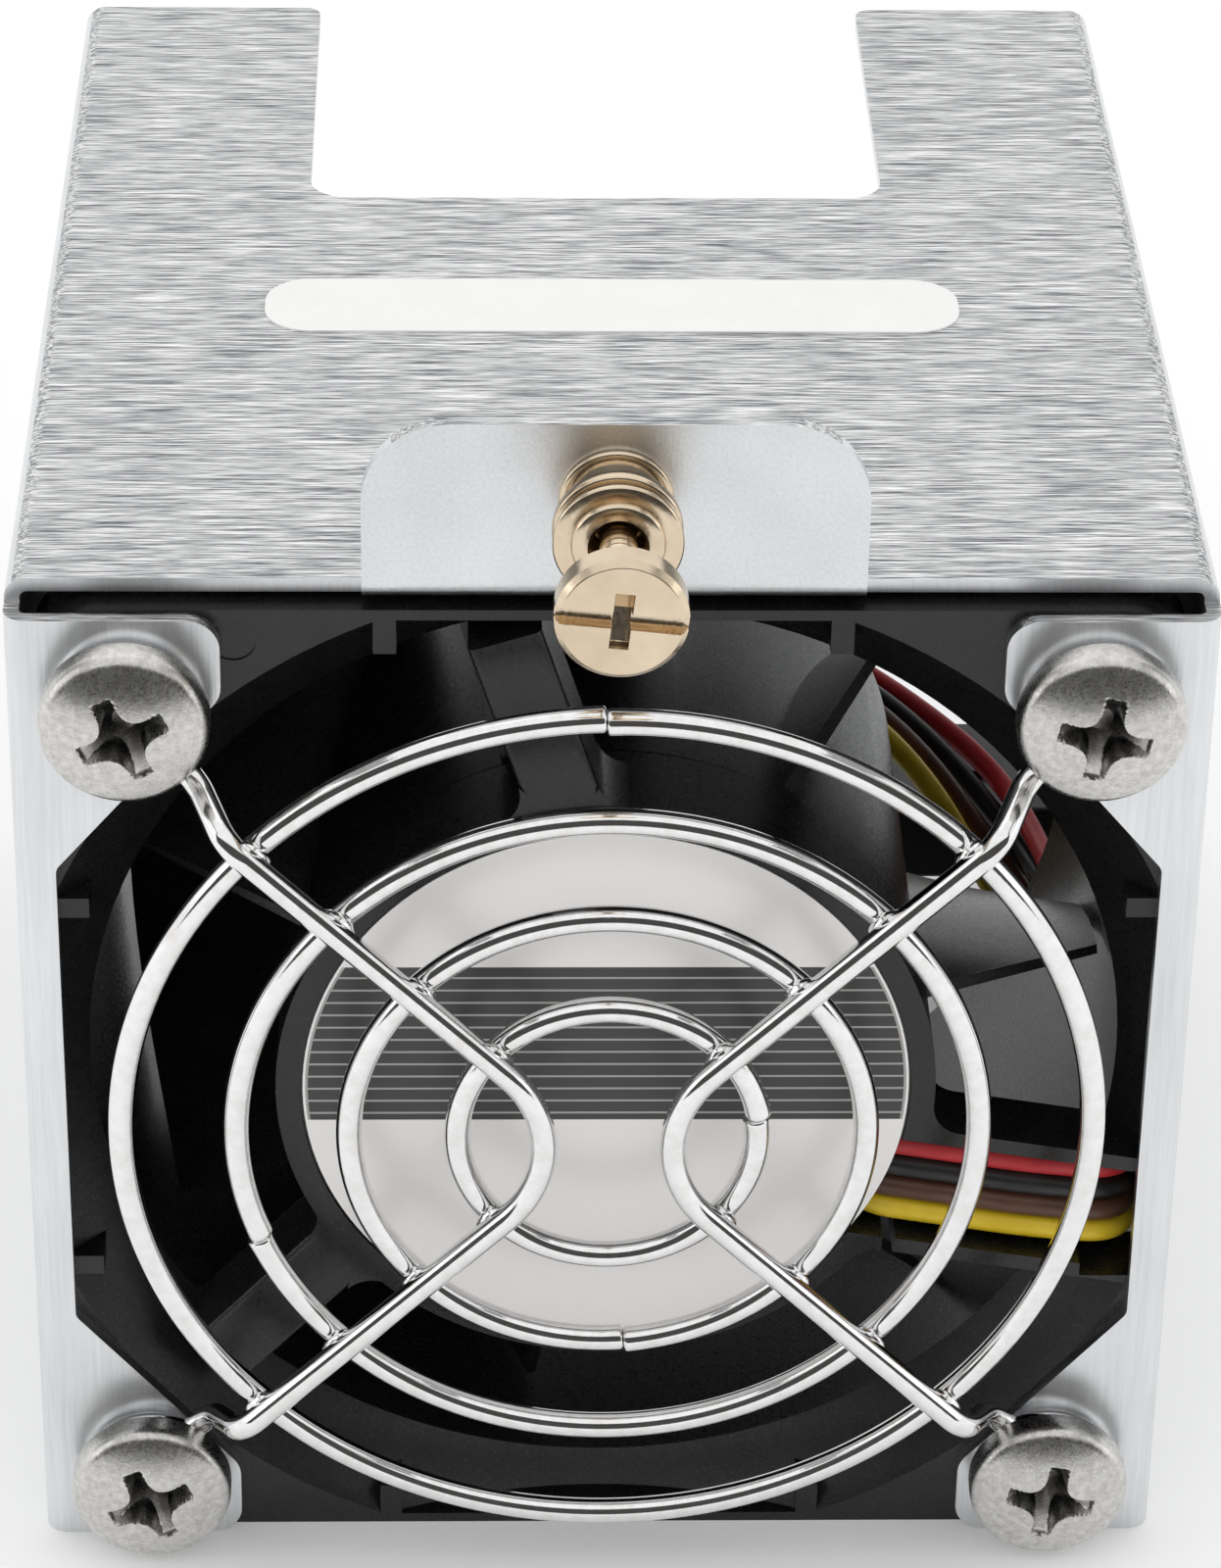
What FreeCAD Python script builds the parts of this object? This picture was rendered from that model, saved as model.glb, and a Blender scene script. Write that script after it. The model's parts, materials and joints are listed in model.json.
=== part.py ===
import FreeCAD, Part
import math
import os

V = FreeCAD.Vector

# Fan: outer size, fixing holes and duct
fan_size = 60.0
fan_depth = 38.0
fan_corner = 3.5
fan_flange = 4.0
hole_spacing = 50.0
fan_hole = 4.3
duct_bore = 56.0
duct_wall = 1.0
mouth_bore = 63.6
mouth_depth = 4.0
mouth_rim = 0.6
mouth_rib_at = 11.75
mouth_rib_width = 1.2
mouth_rib_reach = 2.0
mouth_rib_depth = 2.5
mould_mark_dia = 2.4
mould_mark_depth = 0.1
mould_mark_x = -19.5
mould_mark_z = 28.2

# Motor base and struts
base_dia = 35.6
base_plate = 2.0
base_depth = 6.0
base_wall = 1.3
board_ledge = 1.4
strut_count = 3
strut_width = 4.0
strut_depth = 4.6
strut_setback = 0.3
strut_first_angle = 97.0
strut_lean = 4.3
strut_round = 0.4
root_round = 1.8

# Lead: four wires, the channel that leads them out and the notches they pass
wire_colours = ("red", "black", "brown", "yellow")
wire_dia = 1.35
wire_gap = 0.1
solder_gap = 0.15
channel_slack = 0.8
channel_depth = 2.6
channel_wall = 0.9
channel_floor = 1.4
window_length = 4.5
channel_point_x = 23.0
channel_point_z = -7.9
channel_slope = 9.6
front_bend = 4
rear_bend = 8
notch_clearance = 0.7
front_notch_depth = 3.7
rear_notch_depth = 2.3

# Rotor
hub_dia = 35.0
hub_gap = 0.6
hub_rear_gap = 3.0
hub_end_wall = 2.0
hub_round = 2.5
tip_gap = 0.5
blade_count = 7
blade_first_angle = 5.0
blade_axial = 25.5
blade_setback = 0.5
blade_tip_setback = 3.1
blade_wrap = 29.0
blade_camber = 1.6
blade_root_thickness = 1.9
blade_tip_thickness = 1.3
yoke_wall = 0.8
yoke_setback = 0.5
hub_wall = 1.5
magnet_wall = 1.8
magnet_length = 15.0
air_gap = 0.4
boss_dia = 8.0
boss_length = 3.5

# Shaft and bearings
shaft_dia = 3.0
shaft_chamfer = 0.2
shaft_cover = 0.3
bearing_dia = 8.0
bearing_width = 4.0
ball_dia = 1.6
ball_count = 7
ball_play = 0.03
race_land = 0.55
cage_wall = 0.6
cage_play = 0.06
cage_lip = 0.3
tube_wall = 1.2
tube_setback = 0.4
tube_shoulder = 0.5
front_bearing_setback = 2.0
clip_dia = 5.6
clip_thickness = 0.4
clip_groove = 0.3
clip_gap = 0.1
clip_play = 0.03
clip_mouth = 2.0
spring_wire = 0.45
spring_turns = 2.5
spring_radius = 2.15

# Stator and circuit board
stator_length = 12.0
pole_count = 4
pole_width = 4.0
pole_shoe = 1.0
pole_slot = 3.6
core_ring = 1.6
insulator_thickness = 1.0
coil_thickness = 1.9
coil_crown = 0.9
board_thickness = 1.0
board_gap = 0.2
pin_dia = 0.7

# Bracket
sheet = 0.8
fan_gap = 0.4
bend_inside = fan_gap
bracket_depth = 72.5
plate_front = 2.0
flange_top_drop = 1.4
ear_edge = 20.15
ear_corner = 1.7
strip_width = 2.2
ear_foot = 14.7
ear_slope = 50.0
ear_hollow = 0.8
ear_hole = 5.0
notch_width = 33.3
notch_floor = 45.9
notch_corner = 2.2
prong_corner = 1.0
tab_width = 25.8
tab_height = 9.6
tab_corner = 4.5

# Captive screw
screw_height = 5.3
ferrule_length = 4.9
ferrule_flange = 6.6
ferrule_flange_length = 2.1
ferrule_neck = 5.2
ferrule_foot = 5.9
ferrule_foot_length = 0.5
ferrule_groove = 0.3
ferrule_cup = 4.6
ferrule_cup_depth = 1.0
ferrule_lip_bore = 2.5
ferrule_lip = 1.2
captive_travel = 5.4
captive_stop = 0.1
captive_head = 6.64
captive_head_length = 1.7
captive_shank = 1.9
captive_thread = 2.9
thread_play = 0.08
slot_width = 0.8
slot_depth = 0.7
cross_width = 1.0
cross_length = 2.7
cross_depth = 1.0

# Wire guard and the screws that hold it
guard_wire = 1.4
guard_standoff = 3.2
guard_radii = (8.02, 13.78, 19.79, 25.86)
weld_sink = 0.1
eye_radius = 3.25
stay_offset = 0.5
stay_apex = 6.55
stay_flat = 2.2
stay_ramp = 2.4
stay_bend = 2.2
head_dia = 8.8
head_rim = 1.35
head_edge = 0.35
head_crown = 0.95
screw_dia = 4.8
screw_play = 0.1
screw_reach = 6.0
screw_point = 1.0
recess_width = 1.2
recess_length = 4.9
recess_core = 2.3
recess_depth = 2.0
recess_angles = (25, 26, -11, -12)

# Stickers
hub_label_dia = 32.7
hub_label_recess = 0.15
hub_label_thickness = 0.12
hub_label_play = 0.15
part_label_length = 38.8
part_label_width = 6.3
part_label_corner = 2.6
part_label_thickness = 0.1
part_label_x = 0.6
part_label_y = 32.2

# Connector at the end of the lead
plug_pitch = 2.54
plug_length = 13.0
plug_width = 10.6
plug_height = 5.2
plug_cavity = 1.9
plug_entry_x = 16.8
plug_setback = 16.7
plug_wire_z = -16.4
plug_wire_depth = 2.0
plug_nose = 3.0
plug_latch = 0.8
plug_round = 0.4
latch_length = 3.0
latch_width = 3.0
terminal_size = 1.5
terminal_wall = 0.25
terminal_socket = 5.0
terminal_recess = 0.6
crimp_gap = 0.05

# Derived places: y is zero on the ears' front face, z is zero on the fan's axis
front = sheet
rear = front + fan_depth
base_z = -fan_size / 2
inner_x = fan_size / 2 + fan_gap
outer_x = inner_x + sheet
plate_z = inner_x
top_z = outer_x
bend_outside = bend_inside + sheet
flange_top = top_z - flange_top_drop
hole = hole_spacing / 2
duct_r = duct_bore / 2
duct_outer_r = duct_r + duct_wall
base_r = base_dia / 2
base_inner_r = base_r - base_wall
tab_face = plate_front - bend_outside
screw_z = top_z + screw_height
ferrule_face = tab_face - ferrule_length
head_back = ferrule_face - captive_travel - captive_stop
head_front = head_back - captive_head_length
guard_r = guard_wire / 2
eye_y = -guard_r
stay_y = -guard_standoff - guard_wire + weld_sink
board_front = front + base_plate + board_ledge + 1.0
board_rear = board_front + board_thickness
hub_front = front + base_depth + hub_gap
hub_rear = rear - hub_rear_gap
hub_floor = hub_rear - hub_end_wall
hub_r = hub_dia / 2
tip_r = duct_r - tip_gap
yoke_r = hub_r - hub_wall
magnet_r = yoke_r - yoke_wall
stator_r = magnet_r - magnet_wall - air_gap
shaft_r = shaft_dia / 2
bearing_r = bearing_dia / 2
tube_r = bearing_r + tube_wall
front_bearing = front + front_bearing_setback
spring_length = spring_wire * (spring_turns + 1) + 0.3
rear_bearing = hub_floor - boss_length - spring_length - bearing_width
tube_end = rear_bearing + bearing_width
stator_front = (front_bearing + bearing_width + rear_bearing - stator_length) / 2
stator_rear = stator_front + stator_length
wire_count = len(wire_colours)
wire_pitch = wire_dia + wire_gap
channel_width = 4 * wire_pitch + channel_slack
side_x = fan_size / 2 - wire_dia / 2
plug_row_y = rear + plug_setback
middle_y = (head_front + bracket_depth) / 2

across = V(1, 0, 0)
deep = V(0, 1, 0)
upward = V(0, 0, 1)


def box(x0, x1, y0, y1, z0, z1):
    return Part.makeBox(x1 - x0, y1 - y0, z1 - z0, V(x0, y0, z0))


def rod(radius, y0, y1, x=0.0, z=0.0):
    return Part.makeCylinder(radius, y1 - y0, V(x, y0, z), deep)


def tube(outer, inner, y0, y1, x=0.0, z=0.0):
    return rod(outer, y0, y1, x, z).cut(rod(inner, y0, y1, x, z))


def turn(shape, angle):
    copy = shape.copy()
    copy.rotate(V(0, 0, 0), deep, -angle)
    return copy


def prism(outline, y0, y1):
    points = [V(x, y0, z) for x, z in outline]
    return Part.Face(Part.makePolygon(points + points[:1])).extrude(V(0, y1 - y0, 0))


def turned(start, *steps, x=0.0, z=0.0):
    # A step of two numbers is a line to (radius, y); one of four is an arc through the first pair.
    first = V(x + start[0], start[1], z)
    here = first
    edges = []
    for step in steps:
        there = V(x + step[-2], step[-1], z)
        if len(step) == 4:
            edges.append(Part.Arc(here, V(x + step[0], step[1], z), there).toShape())
        else:
            edges.append(Part.LineSegment(here, there).toShape())
        here = there
    edges.append(Part.LineSegment(here, first).toShape())
    return Part.Face(Part.Wire(edges)).revolve(V(x, 0, z), deep, 360)


def rounded(shape, radius, direction, test):
    picked = []
    for edge in shape.Edges:
        straight = edge.Curve.TypeId == "Part::GeomLine"
        if straight and abs(edge.tangentAt(edge.FirstParameter).dot(direction)) > 0.999:
            if test(edge.CenterOfMass):
                picked.append(edge)
    return shape.makeFillet(radius, picked)


def near(value, target):
    return abs(value - target) < 0.01


def rounded_path(points, radii):
    edges = []
    here = points[0]
    for before, corner, after, radius in zip(points, points[1:], points[2:], radii):
        arrive = (corner - before).normalize()
        leave = (after - corner).normalize()
        half_turn = arrive.getAngle(leave) / 2
        setback = radius * math.tan(half_turn)
        inward = (leave - arrive).normalize()
        begin = corner - arrive * setback
        middle = corner + inward * (radius / math.cos(half_turn) - radius)
        end = corner + leave * setback
        edges.append(Part.LineSegment(here, begin).toShape())
        edges.append(Part.Arc(begin, middle, end).toShape())
        here = end
    edges.append(Part.LineSegment(here, points[-1]).toShape())
    return Part.Wire(edges)


def round_bar(path, radius, start, toward):
    profile = Part.Wire(Part.makeCircle(radius, start, toward - start))
    return path.makePipeShell([profile], True, False)


def corners():
    return [(x, z) for x in (-hole, hole) for z in (-hole, hole)]


def folded_channel():
    skin = box(-outer_x, outer_x, plate_front, bracket_depth, base_z, top_z)
    skin = rounded(skin, bend_outside, deep, lambda c: near(c.z, top_z))
    room = box(-inner_x, inner_x, plate_front - 1, bracket_depth + 1, base_z - 1, plate_z)
    room = rounded(room, bend_inside, deep, lambda c: near(c.z, plate_z))
    notch = box(-notch_width / 2, notch_width / 2, notch_floor, bracket_depth + 1, 0, top_z + 1)
    notch = rounded(notch, notch_corner, upward, lambda c: near(c.y, notch_floor))
    channel = skin.cut(room).cut(notch)
    return rounded(channel, prong_corner, upward,
                   lambda c: near(c.y, bracket_depth) and near(abs(c.x), notch_width / 2))


def right_flange():
    strip_edge = outer_x - strip_width
    ear_rise = (strip_edge - ear_edge) * math.tan(math.radians(ear_slope))
    ear_bottom = ear_foot + ear_rise
    half = [(strip_edge, ear_foot), (ear_edge, ear_bottom)]
    outline = [(outer_x, base_z), (outer_x, flange_top), (ear_edge, flange_top)]
    outline += half[::-1]
    outline += [(x, -z) for x, z in half]
    outline += [(ear_edge, base_z)]
    blank = prism(outline, 0, plate_front)
    blank = rounded(blank, ear_hollow, deep, lambda c: near(c.x, strip_edge))
    blank = rounded(blank, ear_corner, deep, lambda c: near(c.x, ear_edge))
    blank = rounded(blank, bend_outside, upward, lambda c: near(c.x, outer_x) and near(c.y, 0))
    room = box(0, inner_x, sheet, plate_front + 1, base_z - 1, top_z)
    room = rounded(room, bend_inside, upward, lambda c: near(c.x, inner_x) and near(c.y, sheet))
    return blank.cut(room)


def upright_tab():
    tab_top = top_z + tab_height
    skin = box(-tab_width / 2, tab_width / 2, tab_face, plate_front + 1, plate_z, tab_top)
    skin = rounded(skin, bend_outside, across, lambda c: near(c.y, tab_face) and near(c.z, plate_z))
    skin = rounded(skin, tab_corner, deep, lambda c: near(c.z, tab_top))
    room = box(-tab_width, tab_width, tab_face + sheet, plate_front + 2, top_z, tab_top + 1)
    room = rounded(room, bend_inside, across, lambda c: near(c.y, tab_face + sheet) and near(c.z, top_z))
    return skin.cut(room)


def bracket():
    right = right_flange()
    left = right.mirror(V(0, 0, 0), across)
    shape = folded_channel().fuse([right, left, upright_tab()]).removeSplitter()
    for x, z in corners():
        shape = shape.cut(rod(ear_hole / 2, -1, sheet + 0.1, x, z))
    return shape.cut(rod(ferrule_neck / 2, tab_face - 1, plate_front + 1, 0, screw_z))


def captive_ferrule():
    flange_r = ferrule_flange / 2
    neck_r = ferrule_neck / 2
    foot_y = tab_face - ferrule_foot_length
    flange_y = ferrule_face + ferrule_flange_length
    groove_y = ferrule_face + ferrule_flange_length / 2
    lip_y = ferrule_face + ferrule_cup_depth
    bore_y = lip_y + ferrule_lip
    thread_r = captive_thread / 2 + thread_play
    return turned((thread_r, tab_face + sheet), (neck_r, tab_face + sheet), (neck_r, tab_face),
                  (ferrule_foot / 2, tab_face), (ferrule_foot / 2, foot_y), (neck_r, foot_y),
                  (neck_r, flange_y), (flange_r - 0.2, flange_y), (flange_r, flange_y - 0.2),
                  (flange_r, groove_y + ferrule_groove / 2),
                  (flange_r - ferrule_groove, groove_y, flange_r, groove_y - ferrule_groove / 2),
                  (flange_r, ferrule_face + 0.2), (flange_r - 0.2, ferrule_face),
                  (ferrule_cup / 2, ferrule_face),
                  (ferrule_cup / 2 - 0.25, lip_y - 0.25, ferrule_lip_bore / 2, lip_y),
                  (ferrule_lip_bore / 2, bore_y), (thread_r, bore_y), z=screw_z)


def captive_screw():
    shoulder = ferrule_face + ferrule_cup_depth + ferrule_lip + captive_stop / 2
    tip = tab_face + sheet
    head_r = captive_head / 2
    thread_r = captive_thread / 2
    shape = turned((0, head_front), (head_r - 0.15, head_front), (head_r, head_front + 0.15),
                   (head_r, head_back), (captive_shank / 2, head_back), (captive_shank / 2, shoulder),
                   (thread_r, shoulder), (thread_r, tip - 0.5), (thread_r - 0.5, tip), (0, tip), z=screw_z)
    slot = box(-head_r, head_r, head_front, head_front + slot_depth,
               screw_z - slot_width / 2, screw_z + slot_width / 2)
    cross = box(-cross_width / 2, cross_width / 2, head_front, head_front + cross_depth,
                screw_z - cross_length / 2, screw_z + cross_length / 2)
    return shape.cut(slot.fuse(cross))


def mounting_screw(x, z, angle):
    edge_y = -guard_wire - head_rim
    head_r = head_dia / 2
    face_r = head_r - head_edge
    face_y = edge_y - head_edge
    crown_y = face_y - head_crown
    end_y = front + screw_reach
    bulge = head_edge * (1 - math.sqrt(0.5))
    dome_r = (face_r ** 2 + head_crown ** 2) / (2 * head_crown)
    dome_y = crown_y + dome_r - math.sqrt(dome_r ** 2 - face_r ** 2 / 4)
    shape = turned((0, crown_y), (face_r / 2, dome_y, face_r, face_y),
                   (head_r - bulge, face_y + bulge, head_r, edge_y),
                   (head_r, -guard_wire), (screw_dia / 2, -guard_wire), (screw_dia / 2, end_y - screw_point),
                   (screw_dia / 2 - screw_point, end_y), (0, end_y))
    floor_y = crown_y + recess_depth
    recess = rod(recess_core / 2, crown_y - 1, floor_y)
    for quarter in (0, 90):
        bar = box(-recess_length / 2, recess_length / 2, crown_y - 1, floor_y,
                  -recess_width / 2, recess_width / 2)
        recess = recess.fuse(turn(bar, quarter + angle))
    shape = shape.cut(recess)
    return shape.translated(V(x, 0, z))


def guard_ring(radius):
    return Part.makeTorus(radius, guard_r, V(0, -guard_standoff, 0), deep)


def guard_stay(side):
    # Half of the path runs from an eye along a diagonal to the bend beside the guard's centre.
    diagonal = math.sqrt(0.5)
    start = hole - diagonal * math.sqrt(eye_radius ** 2 - stay_offset ** 2)
    shift = stay_offset * diagonal
    stations = [(0, eye_y), (stay_flat, eye_y), (stay_flat + stay_ramp, stay_y)]
    upper = []
    for distance, y in stations:
        upper.append(V(start - distance * diagonal + shift, y, start - distance * diagonal - shift))
    lower = [V(p.x, p.y, -p.z) for p in reversed(upper)]
    points = upper + [V(2 * shift, stay_y, 0)] + lower
    path = rounded_path(points, [stay_bend, stay_bend, stay_apex, stay_bend, stay_bend])
    shape = round_bar(path, guard_r, points[0], points[1])
    for z in (-hole, hole):
        shape = shape.fuse(Part.makeTorus(eye_radius, guard_r, V(hole, eye_y, z), deep))
    if side < 0:
        shape = shape.mirror(V(0, 0, 0), across)
    return shape


def flange_plate(y0, y1):
    half = fan_size / 2
    plate = box(-half, half, y0, y1, -half, half)
    return rounded(plate, fan_corner, deep, lambda c: near(abs(c.x), half))


def mouth(face_y, inward):
    # Flared opening, held inside a square so that the frame keeps a thin rim on its four sides.
    end_y = face_y + inward * mouth_depth
    flare = turned((0, face_y), (mouth_bore / 2, face_y), (duct_r, end_y), (0, end_y))
    limit = fan_size / 2 - mouth_rim
    low_y = min(face_y, end_y)
    return flare.common(box(-limit, limit, low_y, low_y + mouth_depth, -limit, limit))


def mouth_ribs(face_y, inward):
    # Small ribs that stand in from the rim, two on each side of the frame.
    limit = fan_size / 2 - mouth_rim / 2
    inner = fan_size / 2 - mouth_rim - mouth_rib_reach
    low_y = min(face_y, face_y + inward * mouth_rib_depth)
    ribs = []
    for place in (-mouth_rib_at, mouth_rib_at):
        left = place - mouth_rib_width / 2
        rib = box(left, left + mouth_rib_width, low_y, low_y + mouth_rib_depth, inner, limit)
        ribs += [turn(rib, quarter) for quarter in (0, 90, 180, 270)]
    return ribs


def strut(angle):
    inner_r = base_r - base_wall / 2
    outer_r = duct_r + duct_wall / 2
    ends = []
    for radius, bearing in ((inner_r, angle), (outer_r, angle + strut_lean)):
        way = math.radians(bearing)
        ends.append(V(radius * math.cos(way), 0, radius * math.sin(way)))
    along = (ends[1] - ends[0]).normalize()
    beside = V(-along.z, 0, along.x) * (strut_width / 2)
    outline = [ends[0] - beside, ends[1] - beside, ends[1] + beside, ends[0] + beside]
    y0 = front + strut_setback
    bar = prism([(p.x, p.z) for p in outline], y0, y0 + strut_depth)
    bar = rounded(bar, strut_round, along, lambda c: True)
    return bar.fuse(root_webs(ends[1], along, strut_width / 2, y0, y0 + strut_depth))


def root_webs(point, along, half_width, y0, y1):
    # Rounded webs in the two corners where a straight arm through the point meets the round base.
    beside = V(-along.z, 0, along.x)
    middle = point.dot(beside)
    inner_r = base_inner_r + base_wall / 4
    inner = along * math.sqrt(inner_r ** 2 - middle ** 2) + beside * middle
    webs = []
    for side in (-1, 1):
        centre_v = middle + side * (half_width + root_round)
        reach = math.sqrt((base_r + root_round) ** 2 - centre_v ** 2)
        centre = along * reach + beside * centre_v
        on_arm = centre - beside * (side * root_round)
        on_base = centre * (base_r / (base_r + root_round))
        halfway = centre + (on_arm + on_base - centre * 2).normalize() * root_round
        edges = [Part.Arc(on_arm, halfway, on_base).toShape(), Part.LineSegment(on_base, inner).toShape(),
                 Part.LineSegment(inner, on_arm).toShape()]
        web = Part.Face(Part.Wire(edges)).extrude(V(0, y1 - y0, 0))
        webs.append(web.translated(V(0, y0, 0)))
    return webs


def channel_bar(width, x0, x1, y0, y1):
    bar = box(x0 - channel_point_x, x1 - channel_point_x, y0, y1, -width / 2, width / 2)
    bar = turn(bar, -channel_slope)
    return bar.translated(V(channel_point_x, 0, channel_point_z))


def wire_notch(x0, y0, y1, high_z, low_z):
    return box(x0, fan_size, y0, y1, low_z - notch_clearance, high_z + notch_clearance)


def wire_span(index):
    # Highest and lowest reach of the wires at one point of the route.
    heights = [lead_route(number)[index].z for number in range(wire_count)]
    return max(heights) + wire_dia / 2, min(heights) - wire_dia / 2


def wire_room():
    # Space kept free for the wires: the open channel, a window beside the board and a notch in each flange.
    start = base_inner_r - window_length
    channel = channel_bar(channel_width, start, fan_size, front - 1, front + channel_depth)
    window = channel_bar(channel_width, start, base_inner_r, front, board_rear)
    high, low = wire_span(front_bend)
    front_x = fan_size / 2 - front_notch_depth
    front_notch = wire_notch(front_x, front - 1, front + fan_flange + 0.5, high, low)
    high, low = wire_span(rear_bend)
    rear_x = fan_size / 2 - rear_notch_depth
    rear_notch = wire_notch(rear_x, rear - fan_flange - 0.5, rear + 1, high + notch_clearance, low)
    return channel.fuse([window, front_notch, rear_notch])


def fan_housing():
    solid = flange_plate(front, front + fan_flange)
    solid = solid.fuse([flange_plate(rear - fan_flange, rear), rod(duct_outer_r, front, rear)])
    solid = solid.cut(rod(duct_r, front - 1, rear + 1))
    solid = solid.cut(mouth(front, 1)).cut(mouth(rear, -1))
    solid = solid.fuse(mouth_ribs(front, 1) + mouth_ribs(rear, -1))
    tapped_r = (screw_dia + screw_play) / 2
    for x, z in corners():
        solid = solid.cut(rod(tapped_r, front - 1, front + fan_flange + 1, x, z))
        solid = solid.cut(rod(fan_hole / 2, rear - fan_flange - 1, rear + 1, x, z))
    mark = rod(mould_mark_dia / 2, front - 1, front + mould_mark_depth, mould_mark_x, mould_mark_z)
    return solid.cut([mark, wire_room()]).removeSplitter()


def motor_base(housing):
    # Base plate with its struts and wire channel, which end on the housing's wall.
    plate = rod(base_r, front, front + base_plate)
    skirt = tube(base_r, base_inner_r, front, front + base_depth)
    ledge = tube(base_inner_r, base_inner_r - board_ledge, front + base_plate, board_front)
    collar = tube(tube_r + tube_wall, tube_r, front, board_front)
    arms = [strut(strut_first_angle + number * 360 / strut_count) for number in range(strut_count - 1)]
    wide = channel_width + 2 * channel_wall
    channel_rear = front + channel_depth + channel_floor
    bar = channel_bar(wide, base_inner_r, fan_size / 2, front, channel_rear)
    half = fan_size / 2
    arms.append(bar.common(box(0, half - mouth_rim / 2, front, channel_rear, -half, half)))
    slope = math.radians(channel_slope)
    channel_along = V(math.cos(slope), 0, -math.sin(slope))
    arms += root_webs(V(channel_point_x, 0, channel_point_z), channel_along, wide / 2, front, channel_rear)
    solid = plate.fuse([skirt, ledge, collar] + arms)
    solid = solid.cut([rod(tube_r, front - 1, board_front + 1), wire_room(), housing])
    label_r = hub_label_dia / 2 + hub_label_play
    return solid.cut(rod(label_r, front - 1, front + hub_label_recess)).removeSplitter()


def blade():
    # Sections stand across one radius on a screw line, with a front edge that slopes back to the tip.
    rear_y = hub_front + blade_setback + blade_axial
    half_wrap = math.tan(math.radians(blade_wrap / 2))
    sections = []
    for share in (-0.2, 0.4, 1.3):
        radius = hub_r + share * (tip_r - hub_r)
        thickness = blade_root_thickness + share * (blade_tip_thickness - blade_root_thickness)
        front_y = hub_front + blade_setback + share * blade_tip_setback
        lean = math.atan(2 * radius * half_wrap / blade_axial)
        sides = ([], [])
        for step in range(5):
            chord = step / 4
            swell = 1 - (2 * chord - 1) ** 2
            z = (1 - 2 * chord) * radius * half_wrap + blade_camber * swell
            y = front_y + chord * (rear_y - front_y)
            half = thickness / 2 * (0.4 + 0.6 * swell)
            sides[0].append(V(radius, y + half * math.sin(lean), z + half * math.cos(lean)))
            sides[1].append(V(radius, y - half * math.sin(lean), z - half * math.cos(lean)))
        edges = []
        for points in (sides[0], sides[1][::-1]):
            curve = Part.BSplineCurve()
            curve.interpolate(points)
            edges.append(curve.toShape())
        edges.insert(1, Part.LineSegment(sides[0][-1], sides[1][-1]).toShape())
        edges.append(Part.LineSegment(sides[1][0], sides[0][0]).toShape())
        sections.append(Part.Wire(edges))
    sheet_blade = Part.makeLoft(sections, True, False)
    return sheet_blade.common(tube(tip_r, hub_r - hub_wall / 2, front, rear))


def impeller():
    cup = turned((yoke_r, hub_front), (hub_r, hub_front), (hub_r, hub_rear - hub_round),
                 (hub_r - hub_round * 0.29, hub_rear - hub_round * 0.29, hub_r - hub_round, hub_rear),
                 (shaft_r, hub_rear), (shaft_r, hub_floor - boss_length),
                 (boss_dia / 2, hub_floor - boss_length), (boss_dia / 2, hub_floor), (yoke_r, hub_floor))
    one = blade()
    first = blade_first_angle - blade_wrap / 2
    blades = [turn(one, first + number * 360 / blade_count) for number in range(blade_count)]
    return cup.fuse(blades).removeSplitter()


def rotor_yoke():
    wall = tube(yoke_r, magnet_r, hub_front + yoke_setback, hub_floor)
    end = tube(yoke_r, boss_dia / 2 + yoke_wall, hub_floor - yoke_wall, hub_floor)
    return wall.fuse(end).removeSplitter()


def rotor_magnet():
    centre = (stator_front + stator_rear) / 2
    return tube(magnet_r, magnet_r - magnet_wall, centre - magnet_length / 2, centre + magnet_length / 2)


def shaft():
    groove_y = front_bearing - clip_gap - clip_thickness
    groove_r = shaft_r - clip_groove
    groove_start = groove_y - clip_gap / 2
    groove_end = front_bearing - clip_gap / 2
    start = groove_y - clip_thickness
    end = hub_rear - shaft_cover
    return turned((0, start), (shaft_r - shaft_chamfer, start), (shaft_r, start + shaft_chamfer),
                  (shaft_r, groove_start), (groove_r, groove_start), (groove_r, groove_end),
                  (shaft_r, groove_end), (shaft_r, end - shaft_chamfer),
                  (shaft_r - shaft_chamfer, end), (0, end))


def shaft_clip():
    y0 = front_bearing - clip_gap - clip_thickness
    ring = tube(clip_dia / 2, shaft_r - clip_groove + clip_play, y0, y0 + clip_thickness)
    return ring.cut(box(-clip_mouth / 2, clip_mouth / 2, y0 - 1, y0 + 1, 0, clip_dia))


def preload_spring():
    pitch = (spring_length - spring_wire - 0.1) / spring_turns
    helix = Part.makeHelix(pitch, pitch * spring_turns, spring_radius)
    profile = Part.Wire(Part.makeCircle(spring_wire / 2, V(spring_radius, 0, 0), V(0, 1, 0)))
    coil = helix.makePipeShell([profile], True, True)
    coil.rotate(V(0, 0, 0), across, -90)
    return coil.translated(V(0, tube_end + spring_wire / 2 + 0.05, 0))


def bearing_tube():
    y0 = front + tube_setback
    bore = bearing_r - tube_shoulder
    return turned((bearing_r, y0), (tube_r, y0), (tube_r, tube_end), (bearing_r, tube_end),
                  (bearing_r, rear_bearing), (bore, rear_bearing),
                  (bore, front_bearing + bearing_width), (bearing_r, front_bearing + bearing_width))


def ball_pitch():
    return (shaft_r + bearing_r) / 2


def ball_places(y0):
    places = []
    for number in range(ball_count):
        way = 2 * math.pi * (number + 0.5) / ball_count
        places.append(V(ball_pitch() * math.cos(way), y0 + bearing_width / 2, ball_pitch() * math.sin(way)))
    return places


def bearing_ring(inner, outer, y0):
    groove = Part.makeTorus(ball_pitch(), ball_dia / 2 + ball_play, V(0, y0 + bearing_width / 2, 0), deep)
    return tube(outer, inner, y0, y0 + bearing_width).cut(groove)


def bearing_balls(y0):
    return Part.makeCompound([Part.makeSphere(ball_dia / 2, place) for place in ball_places(y0)])


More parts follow.
